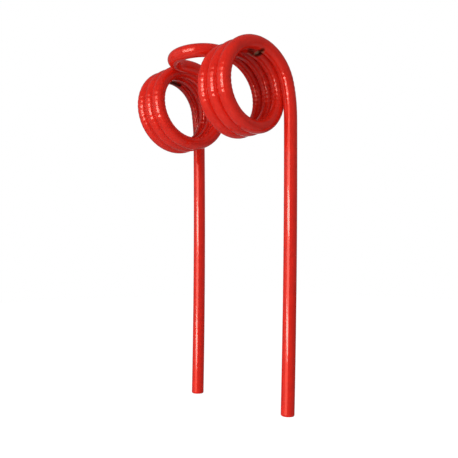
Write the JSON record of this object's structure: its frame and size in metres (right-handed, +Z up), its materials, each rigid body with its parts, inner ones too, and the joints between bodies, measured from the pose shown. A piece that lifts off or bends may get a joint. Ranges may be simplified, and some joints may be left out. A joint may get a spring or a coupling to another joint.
{
  "type": "pickup tine",
  "caption": "Double-coil spring tine of round wire with a bolt loop between the coils and straight legs hanging below.",
  "frame": {"origin": "on the common axis of the coils, midway between them", "axes": "+X along the coil axis, +Y from the axis towards the side that the legs leave from, +Z up, away from the leg ends"},
  "size_m": [0.0706, 0.0438, 0.1638],
  "materials": {
    "red_paint": "glossy red enamel dipped over drawn spring wire"
  },
  "bodies": {
    "root": {"tine": "red_paint"}
  },
  "joints": []
}
